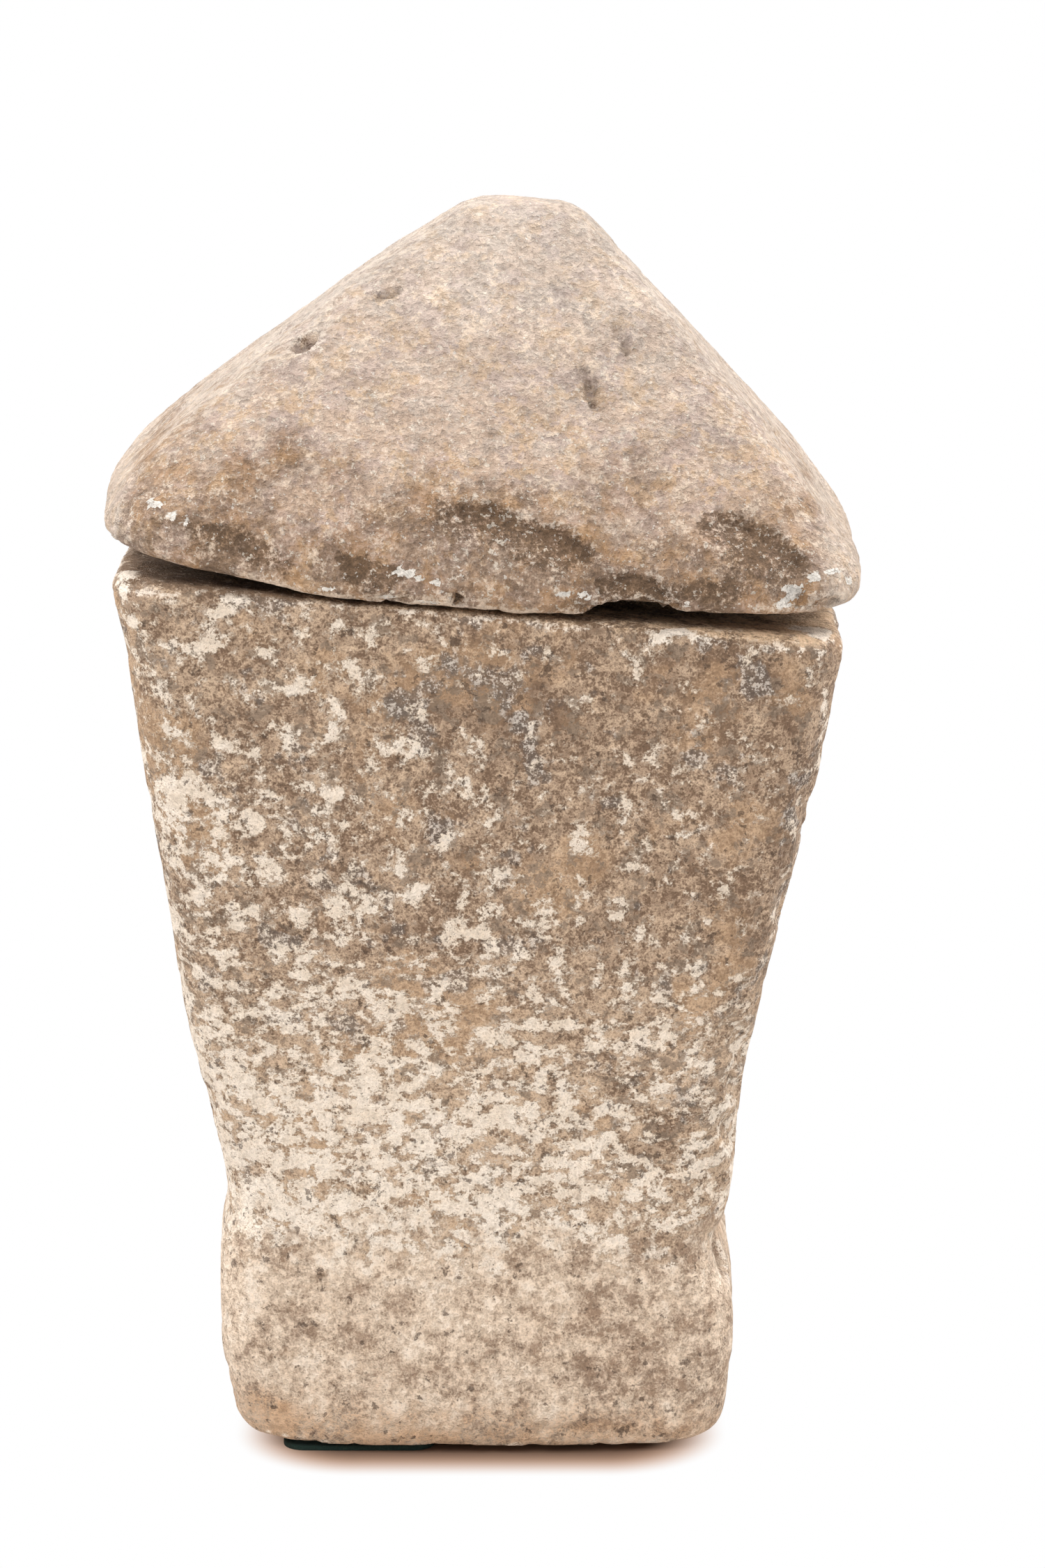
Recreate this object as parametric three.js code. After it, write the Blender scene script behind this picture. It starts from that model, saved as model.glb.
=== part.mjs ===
// A limestone burial urn in two stones: a box that tapers to its foot and is hollowed for the
// bones, and a hipped lid, hollowed below, that drops over a raised lip round the mouth.
// Four felt pads keep the rough base off the floor.
// Millimetres, +Z up, front towards -Y. The origin is on the floor under the middle of the urn.
import * as THREE from "three";

// Box stone
const rimWidth = 396;
const rimDepth = 370;
const rimHeight = 492; // ledge of the rim above the floor, on the axis
const rimDrop = 34; // how much lower the right end of the rim lies than the left
const rimEdgeRadius = 6;
const baseEdgeRise = 30; // height of the rounding round the foot
const baseEdgeLeft = 20; // how far in it goes at each side
const baseEdgeRight = 14;
const baseEdgeFront = 9;
const boxCornerRadius = 34;
const boxBow = 4; // swell of each side, in plan

// Hollow for the bones, and the lip round its mouth
const rimWall = 94; // mouth to outer face, at the rim
const floorThickness = 92;
const chamberCornerRadius = 14;
const chamberFloorRadius = 26;
const lipHeight = 14;
const lipWidth = 20;
const lipEdgeRadius = 4;

// Lid stone, measured square to the sloping rim
const lidRise = 208;
const lidSideOverhang = 10; // past the box at left and right
const lidFrontOverhang = 1; // past the box at front and back
const lidPeakShift = 8; // how far right of the middle the peak was carved
const lidCornerRadius = 45;
const lidHipRadius = 17; // how round the four hips are, near the top
const lidBow = 8;
const lidEdgeRise = 14; // height of the rounding along the lid's lower edge
const lidEdgeLeft = 28; // how far in it goes at each side
const lidEdgeRight = 18;
const lidEdgeFront = 6;
const lidHollowDepth = 68;
const lidHollowEdgeRadius = 5;
const seatRise = 12; // how far the worn underside lifts off the rim at the left and right ends
const lipClearance = 7; // lip to the wall of the lid's hollow
const seatGap = 0.3; // lid to rim where the lid touches

// Felt pads
const padLength = 86;
const padWidth = 58;
const padThickness = 3;
const padCornerRadius = 12;
const padSideInset = 12; // edge of the base's flat to the pads, at left and right
const padFrontInset = 2; // and to the one pad that shows, at the front
const padSetBack = 26; // how much further in the other three lie from the front and back

// Chisel-dressed faces roll in and out: two sizes of swell, each with its depth
const broadSwellLength = 62;
const broadSwellDepth = 1.9;
const smallSwellLength = 27;
const smallSwellDepth = 0.9;

// How finely the stones are faceted
const cornerSteps = 5;
const sideSteps = 9;
const edgeSteps = 3;

// Reach of the box to each side at rising heights: share of the rim's height, then shares of
// half the rim's width (left, right) and of half its depth (front, back).
const boxShares = [
  [0.075, 0.727, 0.723, 0.745, 0.7],
  [0.11, 0.745, 0.739, 0.75, 0.715],
  [0.17, 0.744, 0.735, 0.74, 0.72],
  [0.235, 0.732, 0.67, 0.73, 0.725],
  [0.28, 0.7, 0.711, 0.725, 0.735],
  [0.325, 0.716, 0.724, 0.735, 0.75],
  [0.39, 0.762, 0.724, 0.765, 0.78],
  [0.46, 0.815, 0.742, 0.8, 0.81],
  [0.54, 0.86, 0.787, 0.845, 0.85],
  [0.635, 0.884, 0.85, 0.885, 0.89],
  [0.73, 0.908, 0.904, 0.92, 0.925],
  [0.825, 0.93, 0.937, 0.955, 0.955],
  [0.92, 0.954, 0.967, 0.98, 0.98],
];

// Outside of the lid above its lower edge: share of the rise, then share of the half width
// and depth that it has at its widest.
const lidShares = [
  [0.13, 0.995],
  [0.2, 0.965],
  [0.28, 0.91],
  [0.37, 0.83],
  [0.5, 0.69],
  [0.62, 0.562],
  [0.73, 0.447],
  [0.84, 0.322],
  [0.92, 0.228],
  [0.965, 0.175],
  [0.99, 0.125],
];
const lidBandShare = 0.28; // share of the rise where the upright band turns into the slopes
const seatLandShares = [-0.4, 0.1]; // shares of the half width between which the lid touches the rim

// Inside of the lid, above the wall that goes round the lip: share of the height that is left
// there, then share of the hollow's half width at the mouth
const lidHollowShares = [
  [0.4, 0.97],
  [0.75, 0.9],
  [0.95, 0.77],
];

// Shallow scars where stone broke off the lower front of the lid: place as shares of the lid's
// half width and of its rise, radius as a share of the rise.
const lidScarShares = [
  [0.3, 0.17, 0.2],
  [0.72, 0.22, 0.24],
  [-0.55, 0.12, 0.18],
];
const lidScarDepth = 5;

const rimTilt = Math.atan2(rimDrop, rimWidth);
const halfTurn = Math.PI;
const quarterTurn = Math.PI / 2;

// Height of the sloping rim over a point of the floor.
const ledgeHeight = (x) => rimHeight - x * Math.tan(rimTilt);

// Rolling in and out of a dressed face. A swell repeats in no direction that the eye can follow,
// because its three waves have unlike lengths.
function swell(x, y, z, length, depth) {
  const [a, b, c] = [x / length, y / length, z / length];
  const golden = 1.618;
  return (depth * (Math.sin(a + golden * c) + Math.sin(b * golden - c) + Math.sin(c + a - b))) / golden;
}
const dressing = (x, y, z) =>
  swell(x, y, z, broadSwellLength, broadSwellDepth) + swell(z, x, y, smallSwellLength, smallSwellDepth);

// One level of a stone. reach is [left, right, front, back] from the axis, height is a function
// of x, and rough is the share of the dressing that this level takes.
const level = (reach, radius, bow, rough, height) => ({ reach, radius, bow, rough, height });
const outset = (reach, by) => reach.map((r) => r + by);
const inset = (reach, by) => outset(reach, -by);
const evenly = (x, y) => [x, x, y, y];

// Outline of a level, anticlockwise from the right: four corner arcs joined by bowed sides.
function outline({ reach, radius, bow }) {
  const [left, right, front, back] = reach;
  const round = Math.min(radius, ...reach);
  const signs = [
    [1, 1],
    [-1, 1],
    [-1, -1],
    [1, -1],
  ];
  const centres = signs.map(([sx, sy]) => [
    sx * ((sx > 0 ? right : left) - round),
    sy * ((sy > 0 ? back : front) - round),
  ]);
  const points = [];
  centres.forEach(([cx, cy], corner) => {
    for (let step = 0; step < cornerSteps; step++) {
      const angle = quarterTurn * (corner + step / cornerSteps);
      const [nx, ny] = [Math.cos(angle), Math.sin(angle)];
      points.push({ x: cx + round * nx, y: cy + round * ny, nx, ny });
    }
    const [ex, ey] = centres[(corner + 1) % centres.length];
    const angle = quarterTurn * (corner + 1);
    const [nx, ny] = [Math.cos(angle), Math.sin(angle)];
    for (let step = 0; step < sideSteps; step++) {
      const t = step / sideSteps;
      const out = round + bow * Math.sin(halfTurn * t);
      points.push({ x: cx + (ex - cx) * t + out * nx, y: cy + (ey - cy) * t + out * ny, nx, ny });
    }
  });
  return points;
}

// A stone from its levels. The first and last close on the axis. LatheGeometry turns the blank,
// and each vertex then moves from its circle to the squared outline of its level.
function squaredLathe(levels, scar = () => 0) {
  const steps = 4 * (cornerSteps + sideSteps);
  const blank = levels.map(({ reach }, row) => new THREE.Vector2(Math.max(...reach), row));
  const geometry = new THREE.LatheGeometry(blank, steps);
  const position = geometry.getAttribute("position");
  levels.forEach((ring, row) => {
    const points = outline(ring);
    for (let i = 0; i <= steps; i++) {
      const p = points[i % steps];
      const z = ring.height(p.x);
      const out = ring.rough * dressing(p.x, p.y, z) - ring.rough * scar(p.x, p.y, z);
      position.setXYZ(i * levels.length + row, p.x + p.nx * out, p.y + p.ny * out, z);
    }
  });
  geometry.computeVertexNormals();
  return geometry;
}

// Quarter of a unit arc, as [how far in from the face, how far up from the lower end] pairs.
function edgeArc() {
  const pairs = [];
  for (let step = 0; step <= edgeSteps; step++) {
    const angle = (quarterTurn * step) / edgeSteps;
    pairs.push([1 - Math.sin(angle), 1 - Math.cos(angle)]);
  }
  return pairs;
}

const rimReach = evenly(rimWidth / 2, rimDepth / 2);
const mouthReach = inset(rimReach, rimWall);
const lipReach = outset(mouthReach, lipWidth);
const nothing = evenly(0, 0);
const baseEdge = [baseEdgeLeft, baseEdgeRight, baseEdgeFront, baseEdgeFront];

function boxStone() {
  const foot = boxShares[0];
  const footReach = rimReach.map((r, side) => r * foot[side + 1]);
  const onFloor = (height) => () => height;
  const alongRim = (above) => (x) => ledgeHeight(x) + above;
  const betweenAt = (share) => (x) => padThickness + (ledgeHeight(x) - padThickness) * share;

  const base = edgeArc().map(([inwards, up]) =>
    level(
      footReach.map((r, side) => r - inwards * baseEdge[side]),
      boxCornerRadius,
      boxBow,
      up,
      onFloor(padThickness + up * baseEdgeRise),
    ),
  );
  const sides = boxShares.map(([share, ...reachShares]) =>
    level(
      rimReach.map((r, side) => r * reachShares[side]),
      boxCornerRadius,
      boxBow,
      1,
      betweenAt(share),
    ),
  );
  const rimEdge = edgeArc()
    .reverse()
    .map(([inwards, down]) =>
      level(
        inset(rimReach, inwards * rimEdgeRadius),
        boxCornerRadius,
        boxBow,
        down ** 2,
        alongRim(-down * rimEdgeRadius),
      ),
    );
  const lipTopOuter = inset(lipReach, lipEdgeRadius);
  const lipTopInner = outset(mouthReach, lipEdgeRadius);
  const lip = [
    level(lipReach, chamberCornerRadius + lipWidth, 0, 0, alongRim(0)),
    level(lipReach, chamberCornerRadius + lipWidth, 0, 0, alongRim(lipHeight - lipEdgeRadius)),
    level(lipTopOuter, chamberCornerRadius + lipWidth - lipEdgeRadius, 0, 0, alongRim(lipHeight)),
    level(lipTopInner, chamberCornerRadius + lipEdgeRadius, 0, 0, alongRim(lipHeight)),
    level(mouthReach, chamberCornerRadius, 0, 0, alongRim(lipHeight - lipEdgeRadius)),
  ];
  const floorLevel = padThickness + floorThickness;
  const chamberFoot = edgeArc()
    .reverse()
    .map(([inwards, up]) =>
      level(
        inset(mouthReach, inwards * chamberFloorRadius),
        chamberCornerRadius,
        0,
        0,
        onFloor(floorLevel + up * chamberFloorRadius),
      ),
    );
  return squaredLathe([
    level(nothing, 0, 0, 0, onFloor(padThickness)),
    ...base,
    ...sides,
    ...rimEdge,
    ...lip,
    ...chamberFoot,
    level(nothing, 0, 0, 0, onFloor(floorLevel)),
  ]);
}

// The lid stands in its own frame, with the plane of the rim at z = 0.
const lidReach = evenly(rimWidth / 2 + lidSideOverhang, rimDepth / 2 + lidFrontOverhang);
const hollowReach = outset(lipReach, lipClearance);
const lidEdge = [lidEdgeLeft, lidEdgeRight, lidEdgeFront, lidEdgeFront];

function lidStone() {
  const halfWidth = Math.max(...lidReach);
  // The underside touches the rim along a land left of its middle, and lifts away towards its ends.
  const seat = (x) => {
    const [from, to] = seatLandShares.map((share) => share * halfWidth);
    const past = Math.max((from - x) / (halfWidth + from), (x - to) / (halfWidth - to), 0);
    return seatRise * past;
  };
  const risen = (height) => (x) => height + seat(x) * Math.max(0, 1 - height / (lidRise * lidBandShare));
  const scar = (x, y, z) => {
    if (y > 0) return 0;
    return lidScarShares.reduce((deepest, [across, up, size]) => {
      const away = Math.hypot(x - across * halfWidth, z - up * lidRise) / (size * lidRise);
      return Math.max(deepest, lidScarDepth * Math.max(0, 1 - away ** 2));
    }, 0);
  };
  const hollowCorner = chamberCornerRadius + lipWidth + lipClearance;

  const aboveLip = lipHeight + lipClearance;
  const hollow = lidHollowShares
    .map(([up, share]) =>
      level(
        hollowReach.map((r) => r * share),
        hollowCorner * share,
        0,
        up,
        () => THREE.MathUtils.lerp(aboveLip, lidHollowDepth, up),
      ),
    )
    .reverse();
  const mouth = [
    level(hollowReach, hollowCorner, 0, 0, () => aboveLip),
    level(hollowReach, hollowCorner, 0, 0, risen(lidHollowEdgeRadius)),
    level(outset(hollowReach, lidHollowEdgeRadius), hollowCorner, 0, 0, risen(0)),
  ];
  const lowerEdge = edgeArc().map(([inwards, up]) =>
    level(
      lidReach.map((r, side) => r - inwards * lidEdge[side]),
      lidCornerRadius,
      lidBow * up,
      up ** 2,
      risen(up * lidEdgeRise),
    ),
  );
  const slopes = lidShares.map(([up, share]) => {
    const onSlope = Math.max(0, up - lidBandShare) / (1 - lidBandShare);
    const shift = [-lidPeakShift, lidPeakShift, 0, 0];
    return level(
      lidReach.map((r, side) => r * share + shift[side] * onSlope),
      THREE.MathUtils.lerp(lidCornerRadius, lidHipRadius, Math.sqrt(onSlope)),
      lidBow * share,
      Math.min(1, 2 * share),
      risen(up * lidRise),
    );
  });
  return squaredLathe(
    [
      level(nothing, 0, 0, 0, () => lidHollowDepth),
      ...hollow,
      ...mouth,
      ...lowerEdge,
      ...slopes,
      level(nothing, 0, 0, 0, () => lidRise),
    ],
    scar,
  );
}

function feltPad() {
  const [x, y, r] = [padLength / 2, padWidth / 2, padCornerRadius];
  const shape = new THREE.Shape();
  shape.absarc(x - r, y - r, r, 0, quarterTurn);
  shape.absarc(r - x, y - r, r, quarterTurn, halfTurn);
  shape.absarc(r - x, r - y, r, halfTurn, halfTurn + quarterTurn);
  shape.absarc(x - r, r - y, r, halfTurn + quarterTurn, halfTurn + halfTurn);
  const cut = { depth: padThickness, bevelEnabled: false, curveSegments: cornerSteps };
  return new THREE.ExtrudeGeometry(shape, cut);
}

const limestone = new THREE.MeshStandardMaterial({ color: 0xb7a48c, roughness: 0.9, metalness: 0 });
const lidLimestone = new THREE.MeshStandardMaterial({ color: 0xb69c82, roughness: 0.85, metalness: 0 });
const felt = new THREE.MeshStandardMaterial({ color: 0x16302a, roughness: 1, metalness: 0 });

function piece(name, geometry, material) {
  const mesh = new THREE.Mesh(geometry, material);
  mesh.name = name;
  return mesh;
}

const urn = new THREE.Group();
urn.add(piece("urn_box", boxStone(), limestone));

const lid = piece("lid", lidStone(), lidLimestone);
lid.rotation.y = rimTilt;
lid.position.set(0, 0, rimHeight + seatGap / Math.cos(rimTilt));
urn.add(lid);

// The flat of the base, inside its rounded edge, and the pads on it.
const footShares = boxShares[0].slice(1);
const flat = rimReach.map((r, side) => r * footShares[side] - baseEdge[side]);
const padPlaces = [
  ["front_left", -1, -1, 0],
  ["front_right", 1, -1, padSetBack],
  ["back_left", -1, 1, padSetBack],
  ["back_right", 1, 1, padSetBack],
];
for (const [place, sideX, sideY, setBack] of padPlaces) {
  const pad = piece("felt_pad_" + place, feltPad(), felt);
  const reachX = sideX < 0 ? flat[0] : flat[1];
  const reachY = sideY < 0 ? flat[2] : flat[3];
  pad.position.x = sideX * (reachX - padSideInset - padLength / 2);
  pad.position.y = sideY * (reachY - padFrontInset - setBack - padWidth / 2);
  urn.add(pad);
}

export default urn;
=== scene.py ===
# %% [markdown]
# # A limestone burial urn, finished as weathered stone
#
# The real urn is two carved stones: a squared box, hollowed for the bones, and a hipped lid that
# drops over the lip of its mouth. It stands on thin felt pads. Nothing on it is machined, so all
# of its character is in the skin: dressed faces that roll a little, worn arrises, pits, scars,
# crusts of pale lime over brown stone, and dark scoops under the lid's lower edge, their shade
# painted into the stone's colour.
#
# The lesson takes the solid stones as a mason's rough-out. It lays an even skin on each, carves
# that skin, notes where it is worn, stained or shaded, and then paints it with procedural
# limestone, with some light and shade painted into its colour.

# %% Load the frame
import math

import bmesh
import bpy
from mathutils import Matrix, Vector, noise
from mathutils.bvhtree import BVHTree
from mathutils.kdtree import KDTree


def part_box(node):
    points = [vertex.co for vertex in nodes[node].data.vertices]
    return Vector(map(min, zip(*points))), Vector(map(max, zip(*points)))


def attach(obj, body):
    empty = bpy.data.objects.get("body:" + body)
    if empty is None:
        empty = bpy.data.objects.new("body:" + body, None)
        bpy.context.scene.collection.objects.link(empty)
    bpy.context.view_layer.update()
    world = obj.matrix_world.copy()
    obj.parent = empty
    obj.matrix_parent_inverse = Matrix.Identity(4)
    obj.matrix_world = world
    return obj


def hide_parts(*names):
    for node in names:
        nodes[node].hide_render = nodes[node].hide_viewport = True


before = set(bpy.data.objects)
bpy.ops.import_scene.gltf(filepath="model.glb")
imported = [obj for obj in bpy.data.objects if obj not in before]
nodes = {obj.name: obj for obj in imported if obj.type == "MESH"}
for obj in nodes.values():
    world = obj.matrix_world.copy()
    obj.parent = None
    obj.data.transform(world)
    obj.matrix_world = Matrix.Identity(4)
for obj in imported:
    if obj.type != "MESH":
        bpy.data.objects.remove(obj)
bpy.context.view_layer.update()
scene = bpy.context.scene
print("nodes:", ", ".join(sorted(nodes)))

# %% [markdown]
# ## The camera
#
# The photograph was taken with a longish lens from a little above the lid, almost square to the
# front face. The camera comes first, because marks that show in the photograph are placed by
# looking through it: a picture point becomes a ray, and the ray meets the stone.

# %% Set up the camera
PICTURE = (1500, 2250)  # pixels of the photograph, wide and high
CAMERA_PLACE = Vector((0.024, -2.5, 0.88))
CAMERA_PITCH = math.radians(11.76)
FILM_HEIGHT = 36.0
LENS = 101.4

camera_data = bpy.data.cameras.new("camera")
camera_data.sensor_fit = "VERTICAL"
camera_data.sensor_height = FILM_HEIGHT
camera_data.lens = LENS
camera = bpy.data.objects.new("camera", camera_data)
camera.location = CAMERA_PLACE
camera.rotation_euler = (math.radians(90) - CAMERA_PITCH, 0, 0)
scene.collection.objects.link(camera)
scene.camera = camera


def ray_through(x, y):
    """The direction in which a point of the photograph lies."""
    across = (x - PICTURE[0] / 2) / PICTURE[1] * FILM_HEIGHT
    down = (y - PICTURE[1] / 2) / PICTURE[1] * FILM_HEIGHT
    turn = Matrix.Rotation(math.radians(90) - CAMERA_PITCH, 3, "X")
    return (turn @ Vector((across, -down, -LENS))).normalized()


def picture_place(point):
    """Where a point of the model appears in the photograph."""
    turn = Matrix.Rotation(math.radians(90) - CAMERA_PITCH, 3, "X")
    seen = turn.inverted() @ (point - CAMERA_PLACE)
    scale = LENS / FILM_HEIGHT * PICTURE[1] / -seen.z
    return PICTURE[0] / 2 + seen.x * scale, PICTURE[1] / 2 - seen.y * scale


print("the middle of the picture looks along", tuple(round(v, 3) for v in ray_through(750, 1125)))

# %% [markdown]
# ## An even skin
#
# Carving needs many small faces of one size. The solids have long thin triangles, so each is
# copied, its loose triangles are merged, and a voxel Remesh turns it to even quads. A few rounds
# of smoothing then take the last facets away, as weather does.

# %% Rough out both stones
WELD = 1e-5
BOX_SKIN = 0.00365  # these two keep each stone under 200,000 triangles
LID_SKIN = 0.0025


def soften(shell, rounds):
    """Smooths the faces of a stone."""
    for _ in range(rounds):
        bmesh.ops.smooth_vert(
            shell, verts=shell.verts, factor=0.5, use_axis_x=True, use_axis_y=True, use_axis_z=True
        )


def rough_out(name, node, skin, rounds):
    """A copy of a solid as an even skin, with faces about skin metres wide."""
    mesh = nodes[node].data.copy()
    shell = bmesh.new()
    shell.from_mesh(mesh)
    bmesh.ops.remove_doubles(shell, verts=shell.verts, dist=WELD)
    shell.to_mesh(mesh)
    shell.free()
    piece = bpy.data.objects.new(name, mesh)
    scene.collection.objects.link(piece)
    remesh = piece.modifiers.new("even skin", "REMESH")
    remesh.mode = "VOXEL"
    remesh.voxel_size = skin
    seen = piece.evaluated_get(bpy.context.evaluated_depsgraph_get())
    even = bpy.data.meshes.new_from_object(seen)
    even.materials.clear()
    piece.modifiers.clear()
    piece.data = even
    shell = bmesh.new()
    shell.from_mesh(even)
    soften(shell, rounds)
    for face in shell.faces:
        face.smooth = True
    shell.to_mesh(even)
    shell.free()
    even.name = name
    print(name, "has", len(even.polygons), "quads")
    return piece


box = rough_out("carved_box", "urn_box", BOX_SKIN, rounds=8)
lid = rough_out("carved_lid", "lid", LID_SKIN, rounds=7)

# %% [markdown]
# The lid's lower edge is chamfered all round in the rough-out. On the real lid the middle of the
# front is sharp and closes the joint, so that part of the chamfer is filled up again. This is the
# one place where the skin leaves its solid, by up to six millimetres.

# %% Sharpen the middle of the front edge
RIM_HEIGHT = 0.492  # of the ledge, on the axis
RIM_SLOPE = 0.086  # how much it drops, per metre to the right
CHAMFER_DEPTH = 0.006
CHAMFER_HEIGHT = 0.014
EDGE_SINK = 0.0022  # how far the filled edge hangs down in front of the rounded rim
FILL_LEFT = (-0.139, -0.09)  # x where the filling begins, and where it is full
FILL_RIGHT = (0.0695, 0.058)  # the same at its right end
FILL_OUT = (0.16, 0.176)  # how far in front of the axis points begin to move out
FILL_DOWN = (0.181, 0.1855)  # and to move down


def ramp(value, low, high):
    """0 below low, 1 above high, and smooth between them."""
    t = min(1.0, max(0.0, (value - low) / (high - low)))
    return t * t * (3 - 2 * t)


def above_rim(point):
    """The height of a point above the sloping plane of the rim."""
    return point.z + point.x * RIM_SLOPE - RIM_HEIGHT


filled = 0
for vertex in lid.data.vertices:
    where = vertex.co
    middle = ramp(where.x, *FILL_LEFT) * ramp(where.x, *FILL_RIGHT)
    share = 1 - max(0.0, above_rim(where)) / CHAMFER_HEIGHT
    if middle > 0 and share > 0:
        where.y -= CHAMFER_DEPTH * share * middle * ramp(-where.y, *FILL_OUT)
        where.z -= EDGE_SINK * share * middle * ramp(-where.y, *FILL_DOWN)
        filled += 1
lid.data.update()
print("points of the front edge moved:", filled)

# %% [markdown]
# ## Marks
#
# Scoops, pits and stains each have a place in the photograph. An oval mark is given in picture
# points: its middle, its half width and half height, how many degrees its right end dips, and its
# strength. The ray through its middle finds the stone, and the points of the skin near that spot
# are tested in the picture. So a mark lies on the surface, and stays there from every side.
#
# A scoop that a chisel or a knock left has one crisp edge and runs out on the other side. It is
# given as the line of its crisp upper edge, with how far below that line it runs out. Noise added
# to the distances makes every edge ragged.


# %% Find marks on a stone
def ragged(pixels, size):
    """Noise from about -1 to 1 with lumps about size pixels wide."""
    return noise.fractal(pixels / size, 0.7, 2.1, 4)


class Skin:
    """The points of a stone, found by where they appear in the photograph."""

    def __init__(self, piece):
        self.stone = BVHTree.FromObject(piece, bpy.context.evaluated_depsgraph_get())
        self.count = len(piece.data.vertices)
        self.points = KDTree(self.count)
        for vertex in piece.data.vertices:
            self.points.insert(vertex.co, vertex.index)
        self.points.balance()

    def near(self, x, y, reach):
        """The points near a spot of the picture: index, picture place, and place in pixels."""
        hit = self.stone.ray_cast(CAMERA_PLACE, ray_through(x, y))[0]
        if hit is None:
            print("a mark misses the stone:", (x, y))
            return
        metre = LENS / FILM_HEIGHT * PICTURE[1] / (hit - CAMERA_PLACE).length
        for point, index, _ in self.points.find_range(hit, reach / metre):
            yield index, picture_place(point), point * metre

    def ovals(self, marks, rag=0.3, soft=0.6):
        """The sum of the oval marks at each point. Soft is the share of a mark that fades out."""
        values = [0.0] * self.count
        for x, y, across, up, dip, strength in marks:
            turn = Matrix.Rotation(math.radians(-dip), 2)
            for index, (px, py), pixels in self.near(x, y, 1.5 * max(across, up)):
                oval = turn @ Vector((px - x, py - y))
                away = math.hypot(oval.x / across, oval.y / up)
                away += rag * ragged(pixels, 0.4 * (across + up))
                values[index] += strength * ramp(away, 1, 1 - soft)
        return values

    def scoops(self, marks, crisp=5, rag=5):
        """The sum of the scoops at each point, each with its crisp edge above."""
        values = [0.0] * self.count
        for line, reach, strength in marks:
            (left, _), (right, _) = line[0], line[-1]
            x, y = line[len(line) // 2]
            for index, (px, py), pixels in self.near(x, y, 1.3 * max(right - left, reach)):
                if not left < px < right:
                    continue
                after = next(i for i, point in enumerate(line) if point[0] >= px)
                (x0, y0), (x1, y1) = line[after - 1], line[after]
                edge = y0 + (y1 - y0) * (px - x0) / (x1 - x0)
                below = py - edge + rag * ragged(pixels, 16)
                ends = ramp(min(px - left, right - px), 0, 0.3 * (right - left))
                run_out = ramp(below, reach * (0.3 + 0.7 * ends), 0.1 * reach)
                values[index] += strength * ramp(below, 0, crisp) * run_out * ramp(ends, 0, 0.3)
        return values


box_skin = Skin(box)
lid_skin = Skin(lid)
print("the skins have", box_skin.count, "and", lid_skin.count, "points")

# %% [markdown]
# ## Carving
#
# Every point moves in along its normal, never out. Broad dressing comes first, then flake scars
# with crisp rims, then weathering, then pits, which sit in a few of the cells of a Voronoi
# pattern. Arrises lose more than faces do: where a point stands proud of its smoothed surroundings
# it is on an arris, and noise breaks small chips off there. The marks read off the photograph are
# added last, each with its own depth in metres.


# %% Tell arrises from hollows
def proud(piece, rounds=14):
    """How far each point stands proud of its smoothed surroundings, in metres."""
    shell = bmesh.new()
    shell.from_mesh(piece.data)
    soften(shell, rounds)
    normals = [v.vector.copy() for v in piece.data.vertex_normals]
    points = [v.co.copy() for v in piece.data.vertices]
    shell.verts.ensure_lookup_table()
    out = [(p - s.co).dot(n) for p, s, n in zip(points, shell.verts, normals)]
    shell.free()
    return out


def carve(piece, depth_at, marks):
    """Moves each point in by depth_at(point, how proud it stands) and its marks, in metres."""
    mesh = piece.data
    normals = [v.vector.copy() for v in mesh.vertex_normals]
    stands = proud(piece)
    depths = []
    for vertex, normal, stand, mark in zip(mesh.vertices, normals, stands, marks):
        depth = max(0.0, depth_at(vertex.co.copy(), stand) + mark)
        depths.append(depth)
        vertex.co -= normal * depth
    mesh.update()
    print(piece.name, "carved up to", round(max(depths) * 1000, 1), "mm")


def relief(point, size, octaves=3):
    """Fractal relief with swells about size metres wide, from about 0 to 1."""
    return 0.5 + 0.4 * noise.fractal(point / size, 0.7, 2.1, octaves)


def flaked(point, size, from_, to):
    """1 where a flake has come off, with a crisp rim, and 0 elsewhere."""
    return ramp(noise.fractal(point / size, 0.8, 2.1, 4), from_, to)


def pitted(point, size, share):
    """Pits in a share of the cells that are size metres wide, 1 at their bottoms."""
    near, middles = noise.voronoi(point / size)
    if noise.noise(middles[0] * 7.3) < 0.4 - 0.8 * share:
        return 0.0
    return max(0.0, 1 - (near[0] / 0.4) ** 2)


# %% Carve the box
BOX_CHIPS = [
    (1062, 1500, 18, 34, 0, 0.0030),
    (1056, 1560, 16, 30, 0, 0.0036),
    (1052, 1625, 18, 34, 0, 0.0034),
    (1030, 1700, 22, 30, 0, 0.0020),
    (1036, 1800, 24, 46, 0, 0.0055),
    (1160, 1170, 20, 60, 0, 0.0020),
    (1128, 1300, 24, 50, 0, 0.0022),
    (300, 1580, 16, 40, 0, 0.0016),
    (463, 1830, 9, 10, 0, 0.0022),
    (192, 836, 16, 12, 0, 0.0028),
    (968, 1245, 52, 22, -20, 0.0010),
    (708, 1938, 8, 6, 0, 0.0030),
    (920, 1575, 70, 40, -25, 0.0008),
    (440, 2056, 60, 9, 0, 0.0015),
    (800, 2056, 70, 8, 0, 0.0015),
]


def box_depth(point, stand):
    depth = 0.0010 * relief(point, 0.055) + 0.0008 * relief(point, 0.014)
    depth += 0.0008 * flaked(point, 0.05, 0.25, 0.4)
    depth += 0.0006 * flaked(point, 0.019, 0.3, 0.42)
    depth += 0.0012 * pitted(point, 0.017, 0.15)
    chip = flaked(point, 0.022, 0.0, 0.35)
    return depth + 0.0026 * chip * ramp(stand, 0.0008, 0.003)


carve(box, box_depth, box_skin.ovals(BOX_CHIPS))

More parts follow.
